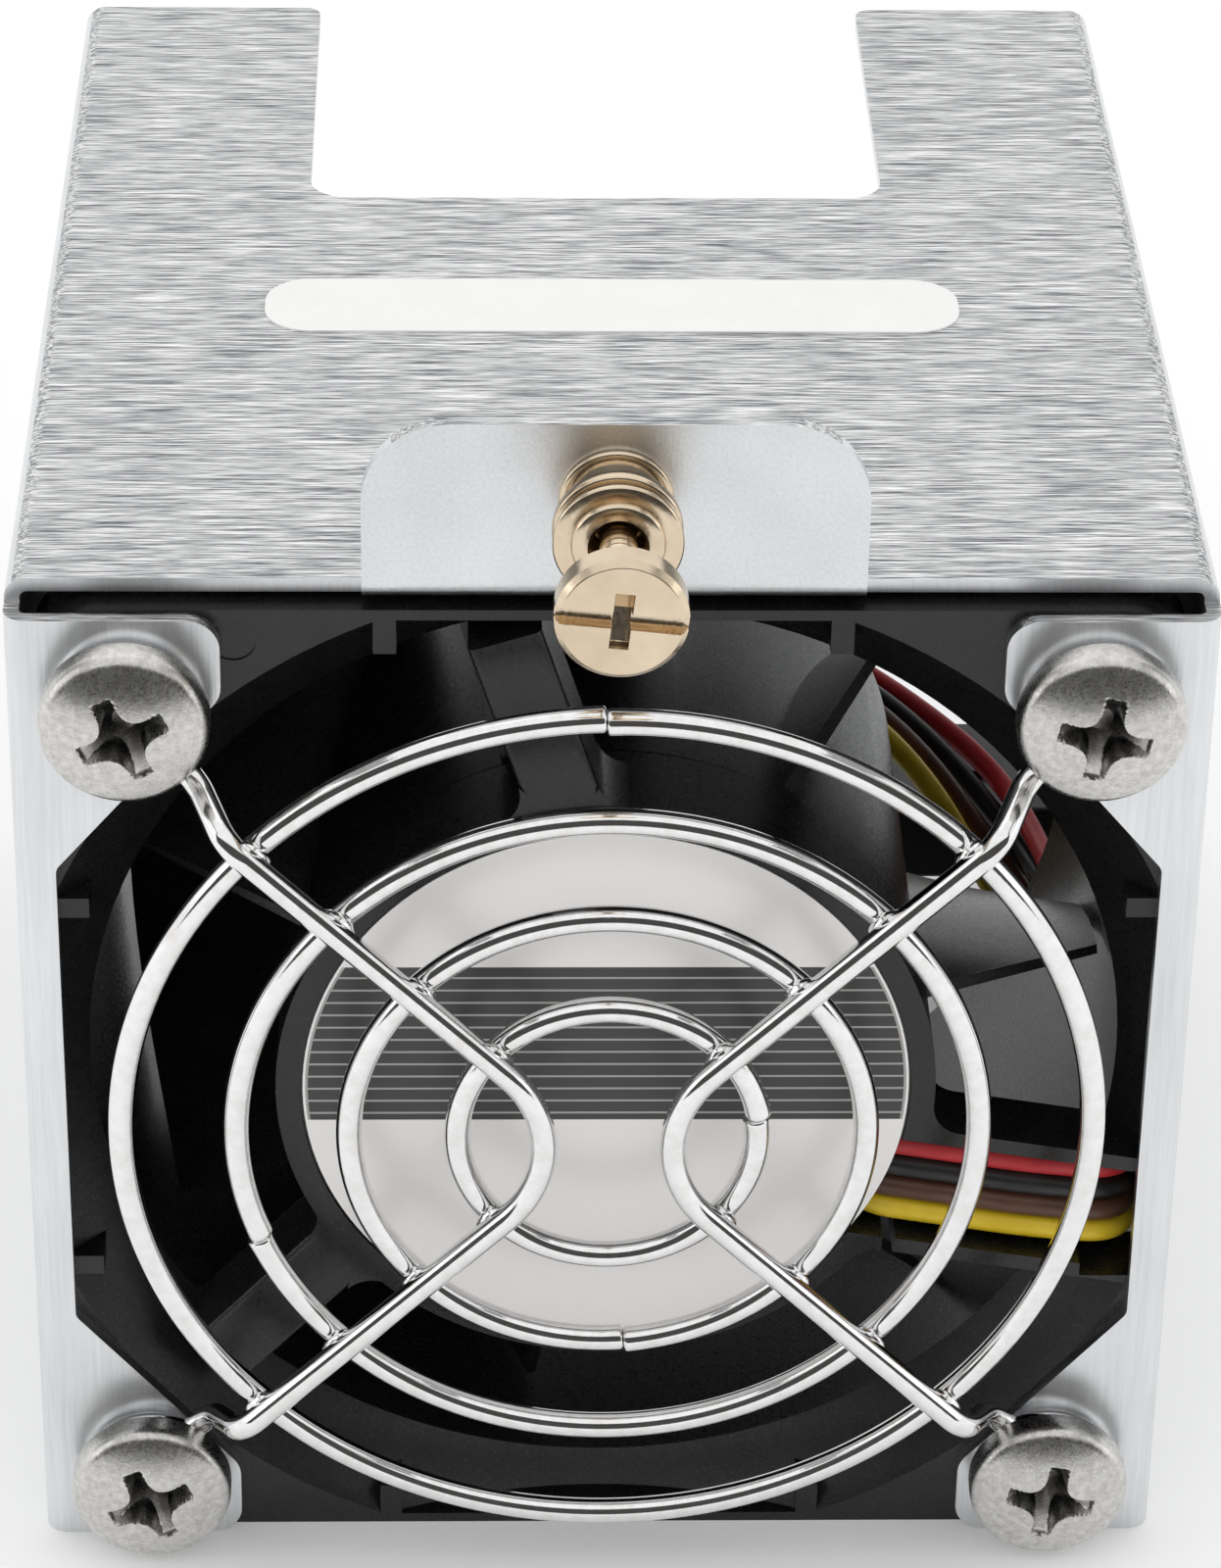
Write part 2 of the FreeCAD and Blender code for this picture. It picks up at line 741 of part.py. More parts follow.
def bearing_cage(y0):
    middle = y0 + bearing_width / 2
    half = cage_wall / 2
    ring = tube(ball_pitch() + half, ball_pitch() - half, middle - ball_dia * 0.75, middle + cage_lip)
    for place in ball_places(y0):
        ring = ring.cut(Part.makeSphere(ball_dia / 2 + cage_play, place, V(place.x, 0, place.z)))
    return ring


def pole_outline(y0, y1):
    # One lamination's shape: ring on the bearing tube, straight poles and curved shoes.
    shape = tube(tube_r + core_ring, tube_r, y0, y1)
    shoes = tube(stator_r, stator_r - pole_shoe, y0, y1)
    for number in range(pole_count):
        angle = 360 / pole_count * number
        slot = box(-pole_slot / 2, pole_slot / 2, y0, y1, 0, stator_r + 1)
        shoes = shoes.cut(turn(slot, angle + 180 / pole_count))
        pole = box(-pole_width / 2, pole_width / 2, y0, y1, tube_r + core_ring / 2, stator_r - pole_shoe / 2)
        shape = shape.fuse(turn(pole, angle))
    return shape.fuse(shoes).removeSplitter()


def stator_insulators():
    ends = [pole_outline(stator_front - insulator_thickness, stator_front),
            pole_outline(stator_rear, stator_rear + insulator_thickness)]
    return Part.makeCompound(ends)


def stator_windings():
    y0 = stator_front - insulator_thickness
    y1 = stator_rear + insulator_thickness
    half = pole_width / 2
    low = tube_r + core_ring + 0.3
    wide = half + coil_thickness
    high = math.sqrt((stator_r - pole_shoe - 0.2) ** 2 - wide ** 2)
    wound = box(-wide, wide, y0 - coil_crown, y1 + coil_crown, low, high)
    wound = rounded(wound, coil_crown * 0.8, upward, lambda c: True)
    coil = wound.cut(box(-half, half, y0, y1, low - 1, high + 1))
    return Part.makeCompound([turn(coil, 360 / pole_count * number) for number in range(pole_count)])


def pin_places():
    radius = tube_r + core_ring / 2
    ways = [math.radians(45 + 90 * number) for number in range(pole_count)]
    return [(radius * math.cos(way), radius * math.sin(way)) for way in ways]


def terminal_pins():
    y1 = stator_front - insulator_thickness
    return Part.makeCompound([rod(pin_dia / 2, board_rear, y1, x, z) for x, z in pin_places()])


def circuit_board():
    return tube(base_inner_r - board_gap, tube_r + board_gap, board_front, board_rear)


def board_components():
    radius = (base_inner_r + tube_r) / 2 + 0.6
    driver = box(-2.5, 2.5, board_front - 1.2, board_front, radius - 2, radius + 2)
    driver = rounded(driver, 0.3, across, lambda c: near(c.y, board_front - 1.2))
    sensor = box(-1.5, 1.5, board_rear, board_rear + 1.2, stator_r - 1.0, stator_r + 0.6)
    pieces = [turn(driver, 60), turn(sensor, 45)]
    for angle in (-30, -65, 100, 135):
        chip = box(-0.8, 0.8, board_front - 0.8, board_front, radius - 1.0, radius + 1.0)
        pieces.append(turn(chip, angle))
    return Part.makeCompound(pieces)


def hub_label():
    y1 = front + hub_label_recess
    return rod(hub_label_dia / 2, y1 - hub_label_thickness, y1)


def part_label():
    half_x = part_label_length / 2
    half_y = part_label_width / 2
    pill = box(part_label_x - half_x, part_label_x + half_x, part_label_y - half_y, part_label_y + half_y,
               top_z, top_z + part_label_thickness)
    return rounded(pill, part_label_corner, upward, lambda c: True)


def lead_route(number):
    # Route of one wire, from the board through the channel and back along the duct to the connector.
    lift = wire_pitch * number
    back = wire_pitch * (wire_count - 1 - number)
    row_y = plug_row()[wire_count - 1 - number]
    return [V(13.0, board_front - solder_gap, -4.05 - lift),
            V(13.5, front + 1.5, -4.15 - lift),
            V(18.4, front + 1.4, -4.95 - lift),
            V(24.2, front + 1.45, -6.0 - lift),
            V(side_x - 0.2, front + 2.2, -6.9 - lift),
            V(side_x, front + fan_depth * 0.21, -7.6 - lift),
            V(side_x + 0.03, front + fan_depth * 0.45, -8.8 - lift),
            V(side_x, front + fan_depth * 0.74, -10.4 - lift),
            V(side_x - 0.2, rear - 0.6, -12.6 - lift),
            V(side_x - 2.9, rear + 4.4 + 1.5 * back, -11.2 - 1.5 * lift),
            V(19.6, rear + 5.0 + 1.35 * back, -4.9),
            V(11.0, rear + 5.5 + 1.2 * back, 0.7),
            V(3.0, rear + 6.8 + 1.25 * back, -1.4),
            V(0.6, rear + 9.0 + 1.4 * back, -8.4),
            V(4.2, (rear + 9.0 + 1.4 * back + row_y) / 2, -14.8),
            V(plug_entry_x - 4.0, row_y, plug_wire_z),
            V(plug_entry_x + plug_wire_depth / 2, row_y, plug_wire_z)]


def lead(number):
    points = lead_route(number)
    radii = []
    for before, corner, after in zip(points, points[1:], points[2:]):
        half_turn = (corner - before).getAngle(after - corner) / 2
        shorter = min(before.distanceToPoint(corner), corner.distanceToPoint(after))
        radii.append(0.45 * shorter / math.tan(half_turn))
    path = rounded_path(points, radii)
    shape = round_bar(path, wire_dia / 2, points[0], points[1])
    section = math.pi * wire_dia ** 2 / 4
    print("lead", number, "length", round(path.Length, 1), "volume ratio",
          round(shape.Volume / (section * path.Length), 4), "radii", [round(r, 1) for r in radii])
    return shape


def plug_row():
    middle = (wire_count - 1) / 2
    return [plug_row_y + (number - middle) * plug_pitch for number in range(wire_count)]


def connector_housing():
    x0 = plug_entry_x
    x1 = x0 + plug_length
    half = plug_width / 2
    z1 = plug_wire_z + plug_height / 2
    body = box(x0, x1, plug_row_y - half, plug_row_y + half, z1 - plug_height, z1)
    body = rounded(body, plug_round, across, lambda c: True)
    latch_x = x1 - plug_nose
    latch = prism([(latch_x - latch_length, z1), (latch_x - latch_length, z1 + plug_latch), (latch_x, z1)],
                  plug_row_y - latch_width / 2, plug_row_y + latch_width / 2)
    body = body.fuse(latch)
    half_cavity = plug_cavity / 2
    for y in plug_row():
        body = body.cut(box(x0 - 1, x1 + 1, y - half_cavity, y + half_cavity,
                            plug_wire_z - half_cavity, plug_wire_z + half_cavity))
    return body.removeSplitter()


def connector_terminals():
    x0 = plug_entry_x + plug_wire_depth / 2 + crimp_gap
    x1 = plug_entry_x + plug_length - terminal_recess
    half = terminal_size / 2
    hollow = half - terminal_wall
    z = plug_wire_z
    pieces = []
    for y in plug_row():
        shell = box(x0, x1, y - half, y + half, z - half, z + half)
        socket = box(x1 - terminal_socket, x1 + 1, y - hollow, y + hollow, z - hollow, z + hollow)
        pieces.append(shell.cut(socket))
    return Part.makeCompound(pieces)


def all_nodes():
    housing = fan_housing()
    nodes = {
        "bracket": bracket(),
        "captive_ferrule": captive_ferrule(),
        "captive_screw": captive_screw(),
        "guard_stay_left": guard_stay(-1),
        "guard_stay_right": guard_stay(1),
        "fan_housing": housing,
        "motor_base": motor_base(housing),
        "impeller": impeller(),
        "rotor_yoke": rotor_yoke(),
        "rotor_magnet": rotor_magnet(),
        "shaft": shaft(),
        "shaft_clip": shaft_clip(),
        "preload_spring": preload_spring(),
        "bearing_tube": bearing_tube(),
        "stator_core": pole_outline(stator_front, stator_rear),
        "stator_insulators": stator_insulators(),
        "stator_windings": stator_windings(),
        "terminal_pins": terminal_pins(),
        "circuit_board": circuit_board(),
        "board_components": board_components(),
        "hub_label": hub_label(),
        "part_label": part_label(),
        "connector_housing": connector_housing(),
        "connector_terminals": connector_terminals(),
    }
    screws = []
    for (x, z), angle in zip(corners(), recess_angles):
        screws.append(mounting_screw(x, z, angle))
    nodes["mounting_screws"] = Part.makeCompound(screws)
    for number, radius in enumerate(guard_radii):
        nodes["guard_ring_%d" % (number + 1)] = guard_ring(radius)
    for number, colour in enumerate(wire_colours):
        nodes["lead_" + colour] = lead(number)
    race_inner = ball_pitch() - race_land
    race_outer = ball_pitch() + race_land
    for place, y0 in (("front", front_bearing), ("rear", rear_bearing)):
        nodes[place + "_bearing_inner_ring"] = bearing_ring(shaft_r, race_inner, y0)
        nodes[place + "_bearing_outer_ring"] = bearing_ring(race_outer, bearing_r, y0)
        nodes[place + "_bearing_balls"] = bearing_balls(y0)
        nodes[place + "_bearing_cage"] = bearing_cage(y0)
    return nodes


os.makedirs("parts", exist_ok=True)
for name, shape in all_nodes().items():
    placed = shape.translated(V(0, -middle_y, -base_z))
    solids = placed.Solids
    print(name, len(solids), "solids", round(placed.Volume, 2), "mm3", placed.isValid())
    placed.exportStep("parts/%s.step" % name)
print("y of the ears' face", round(-middle_y, 3), "fan axis z", -base_z)
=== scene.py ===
import json
import math
import bpy
from mathutils import Matrix, Vector, noise


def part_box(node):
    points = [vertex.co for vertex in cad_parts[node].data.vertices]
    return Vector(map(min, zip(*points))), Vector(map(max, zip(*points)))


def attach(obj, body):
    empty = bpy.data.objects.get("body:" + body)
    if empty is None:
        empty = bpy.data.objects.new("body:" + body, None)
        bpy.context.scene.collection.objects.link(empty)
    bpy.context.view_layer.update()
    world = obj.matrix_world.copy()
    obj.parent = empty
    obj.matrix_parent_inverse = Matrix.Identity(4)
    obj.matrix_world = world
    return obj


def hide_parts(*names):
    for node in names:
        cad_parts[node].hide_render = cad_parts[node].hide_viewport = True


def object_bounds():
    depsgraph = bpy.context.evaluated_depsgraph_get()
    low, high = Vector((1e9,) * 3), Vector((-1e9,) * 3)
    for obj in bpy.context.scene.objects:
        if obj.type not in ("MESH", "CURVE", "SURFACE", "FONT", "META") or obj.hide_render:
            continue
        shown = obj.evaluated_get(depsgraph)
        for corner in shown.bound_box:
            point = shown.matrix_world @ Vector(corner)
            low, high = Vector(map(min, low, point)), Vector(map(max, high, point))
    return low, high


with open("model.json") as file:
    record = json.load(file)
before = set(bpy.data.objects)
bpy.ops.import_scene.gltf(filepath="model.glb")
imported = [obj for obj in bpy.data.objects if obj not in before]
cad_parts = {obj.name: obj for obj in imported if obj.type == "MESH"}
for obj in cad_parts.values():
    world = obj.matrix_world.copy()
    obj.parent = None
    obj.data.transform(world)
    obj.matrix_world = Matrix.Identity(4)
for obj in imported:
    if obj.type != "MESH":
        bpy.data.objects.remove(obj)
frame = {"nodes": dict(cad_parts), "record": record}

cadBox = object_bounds()
mm = 0.001
nodes = frame["nodes"]
fanLow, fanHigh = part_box("fan_housing")
axisZ = (fanLow.z + fanHigh.z) / 2
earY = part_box("bracket")[0].y
fanFront = (fanLow.y - earY) / mm
fanRear = (fanHigh.y - earY) / mm


def spot(x, y, z):  # millimetres from the fan's axis and the ears' front face
    return Vector((x * mm, earY + y * mm, axisZ + z * mm))


class Flow:  # a shader socket that takes part in sums
    def __init__(self, tree, socket):
        self.tree = tree
        self.socket = socket

    def node(self, kind, output=0, inputs=None, **settings):  # any node, fed with plain values or flows
        made = self.tree.nodes.new("ShaderNode" + kind)
        for key, value in settings.items():
            setattr(made, key, value)
        for key, value in (inputs or {}).items():
            plug(self.tree, made.inputs[key], value)
        return Flow(self.tree, made.outputs[output])

    def sums(self, operation, first, second):
        return self.node("Math", 0, {0: first, 1: second}, operation=operation)

    def __add__(self, other):
        return self.sums("ADD", self, other)

    def __radd__(self, other):
        return self.sums("ADD", other, self)

    def __sub__(self, other):
        return self.sums("SUBTRACT", self, other)

    def __rsub__(self, other):
        return self.sums("SUBTRACT", other, self)

    def __mul__(self, other):
        return self.sums("MULTIPLY", self, other)

    def __rmul__(self, other):
        return self.sums("MULTIPLY", other, self)

    def __truediv__(self, other):
        return self.sums("DIVIDE", self, other)

    def __rtruediv__(self, other):
        return self.sums("DIVIDE", other, self)

    def __pow__(self, other):
        return self.sums("POWER", self, other)

    def __gt__(self, other):
        return self.sums("GREATER_THAN", self, other)

    def __lt__(self, other):
        return self.sums("LESS_THAN", self, other)


def plug(tree, socket, value):
    if isinstance(value, Flow):
        tree.links.new(value.socket, socket)
    elif isinstance(value, tuple) and len(value) == 3 and socket.type == "RGBA":
        socket.default_value = (*value, 1)
    else:
        socket.default_value = value


def startMaterial(name):  # the material, its shader, and object coordinates in millimetres
    material = bpy.data.materials.new(name)
    material.use_nodes = True
    tree = material.node_tree
    shader = tree.nodes["Principled BSDF"]
    place = Flow(tree, None).node("TexCoord", "Object")
    scaled = place.node("VectorMath", 0, {0: place, "Scale": 1 / mm}, operation="SCALE")
    return material, shader, scaled


def feed(shader, inputs):
    for key, value in inputs.items():
        plug(shader.id_data, shader.inputs[key], value)


def stretched(place, factors):
    return place.node("VectorMath", 0, {0: place, 1: factors}, operation="MULTIPLY")


def cloud(place, scale, detail=3.0, rough=0.6):
    return place.node("TexNoise", 0, {"Vector": place, "Scale": scale, "Detail": detail, "Roughness": rough})


def fade(value, low, high, start=0.0, end=1.0):
    return value.node("MapRange", 0, {"Value": value, 1: low, 2: high, 3: start, 4: end})


noiseLow, noiseHigh = 0.3, 0.7


def ranged(value, start=0.0, end=1.0):  # the values that noise mostly takes, spread between two ends
    return fade(value, noiseLow, noiseHigh, start, end)


def shared(first, second, share):
    return first * (1 - share) + second * share


def blend(factor, first, second):
    return factor.node("Mix", 2, {0: factor, 6: first, 7: second}, data_type="RGBA")


def bump(height, strength, distance):
    return height.node("Bump", 0, {"Height": height, "Strength": strength, "Distance": distance * mm})


def coordinate(place, axis):
    return place.node("SeparateXYZ", axis, {0: place})


def absolute(value):
    return value.node("Math", 0, {0: value}, operation="ABSOLUTE")


def facing(place, axis):  # how far a face looks along one axis, either way
    return absolute(coordinate(place.node("NewGeometry", "True Normal"), axis))


plainLook = {"patch": 0.4, "grain": 6.0, "metal": 0.0, "relief": 0.1, "reliefDepth": 0.05}


def mottled(name, finish):  # an even finish with a little cloudiness and grain
    look = {**plainLook, **finish}
    material, shader, place = startMaterial(name)
    patches = cloud(place, look["patch"])
    grain = cloud(place, look["grain"], detail=2.0)
    feed(shader, {
        "Base Color": blend(ranged(patches), look["dark"], look["light"]),
        "Roughness": ranged(grain, look["smooth"], look["rough"]),
        "Metallic": look["metal"],
        "Normal": bump(grain, look["relief"], look["reliefDepth"]),
    })
    return material


sheetLook = {
    "dark": (0.12, 0.13, 0.145), "light": (1.0, 1.0, 1.0),  # the brushed top plate
    "front": (0.80, 0.82, 0.84), "cut": (0.70, 0.71, 0.72),  # the other faces
    "level": 0.8, "tabFrom": 61.0,
    "streak": (0.18, 7.5, 7.5), "dash": (0.5, 12.0, 12.0), "dashShare": 0.38, "brushRange": (0.41, 0.59),
    "drawn": (4.5, 4.5, 0.16), "grain": 5.0, "patch": 0.12, "patchShare": 0.3, "satinRange": (0.35, 0.65),
    "smooth": 0.28, "rough": 0.36, "brushRough": 0.06,
    "relief": 0.5, "reliefDepth": 0.03, "satinRelief": 0.25,
}


def sheetMetal():
    material, shader, place = startMaterial("zincSheet")
    upward = facing(place, 2) > sheetLook["level"]
    streak = cloud(stretched(place, sheetLook["streak"]), 1.0, detail=4.0, rough=0.7)
    dash = cloud(stretched(place, sheetLook["dash"]), 1.0, detail=2.0, rough=0.5)
    drawn = cloud(stretched(place, sheetLook["drawn"]), 1.0, detail=4.0, rough=0.65)
    patch = cloud(place, sheetLook["patch"], detail=2.0)
    brushed = fade(shared(streak, dash, sheetLook["dashShare"]), *sheetLook["brushRange"])
    plate = blend(brushed, sheetLook["dark"], sheetLook["light"])
    onTab = coordinate(place, 2) > sheetLook["tabFrom"]  # the tab is grained, the flanges are drawn
    finish = shared(drawn, cloud(place, sheetLook["grain"]), onTab)
    tone = fade(shared(finish, patch, sheetLook["patchShare"]), *sheetLook["satinRange"])
    satin = blend(tone, sheetLook["front"], sheetLook["cut"])
    relief = brushed * upward + ranged(finish) * (1 - upward) * sheetLook["satinRelief"]
    even = ranged(patch, sheetLook["smooth"], sheetLook["rough"])
    feed(shader, {
        "Base Color": blend(upward, satin, plate),
        "Metallic": 1.0,
        "Roughness": even + upward * sheetLook["brushRough"],
        "Normal": bump(relief, sheetLook["relief"], sheetLook["reliefDepth"]),
    })
    return material


chromeLook = {
    "colour": (0.88, 0.88, 0.89), "tint": (0.80, 0.79, 0.77), "ripple": 1.3, "tintRange": (0.4, 0.7),
    "speck": 5.0, "speckRange": (0.4, 0.75), "smooth": 0.05, "rough": 0.13,
    "relief": 0.03, "reliefDepth": 0.1,
}


def brightChrome():
    material, shader, place = startMaterial("brightChrome")
    ripple = cloud(place, chromeLook["ripple"])
    speck = cloud(place, chromeLook["speck"], detail=1.0)
    tint = fade(ripple, *chromeLook["tintRange"])
    feed(shader, {
        "Base Color": blend(tint, chromeLook["colour"], chromeLook["tint"]),
        "Metallic": 1.0,
        "Roughness": fade(speck, *chromeLook["speckRange"], chromeLook["smooth"], chromeLook["rough"]),
        "Normal": bump(ripple, chromeLook["relief"], chromeLook["reliefDepth"]),
    })
    return material


labelLook = {
    "foil": (0.90, 0.885, 0.87), "foilLight": (0.93, 0.915, 0.90),
    "band": (0.055, 0.054, 0.053), "line": (0.42, 0.41, 0.40),
    "bandLow": -2.0, "bandHigh": 7.95, "pitch": 0.80, "lineWidth": 0.12, "edge": 0.14,
    "grain": 9.0, "smooth": 0.30, "rough": 0.36, "metal": 0.3, "bandLess": 0.2,
    "relief": 0.03, "reliefDepth": 0.02,
}


def foilLabel():
    material, shader, place = startMaterial("foilLabel")
    height = coordinate(place, 2) - axisZ / mm
    across = coordinate(place, 0)
    labelLow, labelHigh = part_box("hub_label")
    reach = (labelHigh.x - labelLow.x) / 2 / mm
    inBand = (height > labelLook["bandLow"]) * (height < labelLook["bandHigh"])
    step = (height - labelLook["bandLow"] + labelLook["pitch"] / 2) / labelLook["pitch"]
    line = step.node("Math", 0, {0: step}, operation="FRACT") < labelLook["lineWidth"] / labelLook["pitch"]
    radius = (across * across + height * height) ** 0.5
    rim = radius > reach - labelLook["edge"] * 2
    outer = radius > reach - labelLook["edge"]
    lines = line.sums("MAXIMUM", line, rim)
    grain = cloud(place, labelLook["grain"], detail=2.0)
    lined = blend(lines, labelLook["band"], labelLook["line"])
    foil = blend(ranged(grain), labelLook["foil"], labelLook["foilLight"])
    shown = inBand * (1 - outer)
    feed(shader, {
        "Base Color": blend(shown, foil, lined),
        "Roughness": ranged(grain, labelLook["smooth"], labelLook["rough"]),
        "Metallic": labelLook["metal"] - shown * labelLook["bandLess"],
        "Normal": bump(grain, labelLook["relief"], labelLook["reliefDepth"]),
    })
    return material


screwLook = {
    # the third colour is painted shade laid into the driver recess
    "dark": (0.50, 0.49, 0.47), "light": (0.74, 0.73, 0.71), "recessShade": (0.17, 0.165, 0.16),
    "at": 25.0, "crown": -4.05, "dome": 0.062, "recessShadeRange": (0.6, 1.5), "recessShadeReach": 2.9,
    "patch": 2.6, "grain": 7.0, "scratch": (1.2, 1.2, 9.0), "scratchShare": 0.3, "toneRange": (0.34, 0.66),
    "smooth": 0.22, "rough": 0.36, "relief": 0.18, "reliefDepth": 0.05,
}


def screwSteel():  # zinc plate, with painted shade darkening the driver recess
    material, shader, place = startMaterial("zincScrew")
    reach = absolute(coordinate(place, 0)) - screwLook["at"]
    rise = absolute(coordinate(place, 2) - axisZ / mm) - screwLook["at"]
    radius = (reach * reach + rise * rise) ** 0.5
    depth = coordinate(place, 1) - earY / mm - screwLook["crown"]
    below = depth - radius * radius * screwLook["dome"]  # how far behind the head's domed face
    # painted shade: the deeper a point lies inside the driver recess, the darker it is painted
    recessShade = fade(below, *screwLook["recessShadeRange"]) * (radius < screwLook["recessShadeReach"])
    patches = cloud(place, screwLook["patch"])
    grain = cloud(place, screwLook["grain"], detail=2.0)
    scratch = cloud(stretched(place, screwLook["scratch"]), 1.0, detail=3.0, rough=0.7)
    tone = fade(shared(patches, scratch, screwLook["scratchShare"]), *screwLook["toneRange"])
    plate = blend(tone, screwLook["dark"], screwLook["light"])
    feed(shader, {
        # inside the recess the plate colour gives way to the painted shade colour
        "Base Color": blend(recessShade, plate, screwLook["recessShade"]),
        "Metallic": 1.0,
        "Roughness": ranged(grain, screwLook["smooth"], screwLook["rough"]),
        "Normal": bump(grain, screwLook["relief"], screwLook["reliefDepth"]),
    })
    return material


finishes = {
    "nickel": {"dark": (0.66, 0.54, 0.39), "light": (0.78, 0.65, 0.49),
               "smooth": 0.14, "rough": 0.24, "metal": 1.0, "grain": 4.0, "relief": 0.05},
    "black_plastic": {"dark": (0.006, 0.006, 0.006), "light": (0.010, 0.010, 0.010),
                      "smooth": 0.24, "rough": 0.36, "grain": 5.0, "relief": 0.12},
    "white_label": {"dark": (0.83, 0.83, 0.82), "light": (0.86, 0.86, 0.845),
                    "smooth": 0.42, "rough": 0.52, "relief": 0.03},
    "bearing_steel": {"dark": (0.52, 0.53, 0.55), "light": (0.66, 0.67, 0.68),
                      "smooth": 0.12, "rough": 0.22, "metal": 1.0},
    "turned_brass": {"dark": (0.50, 0.36, 0.14), "light": (0.64, 0.48, 0.2),
                     "smooth": 0.2, "rough": 0.32, "metal": 1.0},
    "dark_steel": {"dark": (0.20, 0.20, 0.21), "light": (0.30, 0.31, 0.32),
                   "smooth": 0.3, "rough": 0.45, "metal": 1.0},
    "ferrite": {"dark": (0.03, 0.03, 0.032), "light": (0.06, 0.06, 0.063), "smooth": 0.55, "rough": 0.75},
    "silicon_steel": {"dark": (0.24, 0.25, 0.27), "light": (0.36, 0.37, 0.39),
                      "smooth": 0.35, "rough": 0.5, "metal": 1.0},
    "insulator": {"dark": (0.66, 0.63, 0.53), "light": (0.74, 0.71, 0.62), "smooth": 0.4, "rough": 0.55},
    "copper": {"dark": (0.42, 0.15, 0.06), "light": (0.56, 0.23, 0.1),
               "smooth": 0.25, "rough": 0.4, "metal": 0.8, "grain": 3.0},
    "board": {"dark": (0.02, 0.13, 0.05), "light": (0.035, 0.18, 0.08), "smooth": 0.3, "rough": 0.42},
    "component": {"dark": (0.02, 0.02, 0.022), "light": (0.04, 0.04, 0.043), "smooth": 0.45, "rough": 0.6},
    "tinned": {"dark": (0.50, 0.50, 0.48), "light": (0.64, 0.64, 0.62),
               "smooth": 0.3, "rough": 0.42, "metal": 1.0},
    "plug_plastic": {"dark": (0.007, 0.007, 0.007), "light": (0.012, 0.012, 0.012),
                     "smooth": 0.4, "rough": 0.52},
}
wireColours = {  # dark and light tone, in the order of the wires' numbers
    "red": ((0.42, 0.012, 0.02), (0.55, 0.03, 0.035)),
    "black": ((0.011, 0.010, 0.010), (0.022, 0.02, 0.02)),
    "brown": ((0.075, 0.03, 0.016), (0.115, 0.05, 0.03)),
    "yellow": ((0.68, 0.47, 0.012), (0.80, 0.58, 0.03)),
}
for colour, (dark, light) in wireColours.items():
    finishes[colour + "_insulation"] = {"dark": dark, "light": light,
                                        "smooth": 0.32, "rough": 0.44, "relief": 0.04}
materials = {name: mottled(name, finish) for name, finish in finishes.items()}
materials["zinc_sheet"] = sheetMetal()
materials["zinc_screw"] = screwSteel()
materials["chrome_wire"] = brightChrome()
materials["silver_label"] = foilLabel()
print("materials", len(materials))


def dress(obj, slotName):
    obj.data.materials.clear()
    obj.data.materials.append(materials[slotName])


def shadeSmooth(mesh, sharp):  # smooth, apart from edges sharper than an angle
    for face in mesh.polygons:
        face.use_smooth = True
    mesh.set_sharp_from_angle(angle=math.radians(sharp))


slots = {part["node"]: part["material_slot"] for part in frame["record"]["subparts"]}
edges = {"sharp": 32, "flat": 1.5, "bevelFrom": 40, "segments": 2,
         "widths": {"bracket": 0.10, "fan_housing": 0.18, "motor_base": 0.15}}
for name, obj in nodes.items():
    dress(obj, slots[name])
    shadeSmooth(obj.data, edges["sharp"])
for name, width in edges["widths"].items():
    merge = nodes[name].modifiers.new("flatten", "DECIMATE")
    merge.decimate_type = "DISSOLVE"
    merge.angle_limit = math.radians(edges["flat"])
    soften = nodes[name].modifiers.new("soften", "BEVEL")
    soften.width = width * mm
    soften.segments = edges["segments"]
    soften.limit_method = "ANGLE"
    soften.angle_limit = math.radians(edges["bevelFrom"])
print("nodes dressed", len(nodes))


def addObject(name, data):
    obj = bpy.data.objects.new(name, data)
    bpy.context.scene.collection.objects.link(obj)
    return obj


def addMesh(name, shape, slotName, body, sharp):
    corners, faces = shape
    mesh = bpy.data.meshes.new(name)
    mesh.from_pydata([spot(*corner) for corner in corners], [], faces)
    mesh.validate()
    shadeSmooth(mesh, sharp)
    obj = addObject(name, mesh)
    dress(obj, slotName)
    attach(obj, body)
    return obj


def circle(radius, sides):
    turns = [2 * math.pi * side / sides for side in range(sides)]
    return [(radius * math.cos(turn), radius * math.sin(turn)) for turn in turns]


def band(here, there, sides):  # four-sided faces between two rings of corners
    pairs = [(side, (side + 1) % sides) for side in range(sides)]
    return [(here + side, here + near, there + near, there + side) for side, near in pairs]


def headedFaces(rings, sides):  # faces round a middle point, bands that face the other way, and an end cap
    faces = [(0, 1 + side, 1 + (side + 1) % sides) for side in range(sides)]
    for ring in range(rings - 1):
        here = 1 + ring * sides
        faces += [face[:1] + face[:0:-1] for face in band(here, here + sides, sides)]
    last = 1 + (rings - 1) * sides
    faces.append(tuple(range(last, last + sides)))
    return faces


def tubeMesh(path, radius, sides=24, closed=False):  # a round bar along a path, with a radius for each point
    count = len(path)
    tangents = []
    for index in range(count):
        before = path[index - 1] if closed or index else path[index]
        after = path[(index + 1) % count] if closed or index + 1 < count else path[index]
        tangents.append((after - before).normalized())
    side = tangents[0].orthogonal().normalized()
    corners, faces = [], []
    for index, tangent in enumerate(tangents):
        side = (side - tangent * side.dot(tangent)).normalized()
        other = tangent.cross(side)
        for along, beside in circle(1, sides):
            corners.append(path[index] + (side * along + other * beside) * radius(index))
    for index in range(count if closed else count - 1):
        faces += band(index * sides, (index + 1) % count * sides, sides)
    if not closed:
        faces.append(tuple(range(sides))[::-1])
        faces.append(tuple(range((count - 1) * sides, count * sides)))
    return corners, faces


def joined(shapes):
    corners, faces = [], []
    for partCorners, partFaces in shapes:
        start = len(corners)
        corners += partCorners
        faces += [tuple(start + index for index in face) for face in partFaces]
    return corners, faces


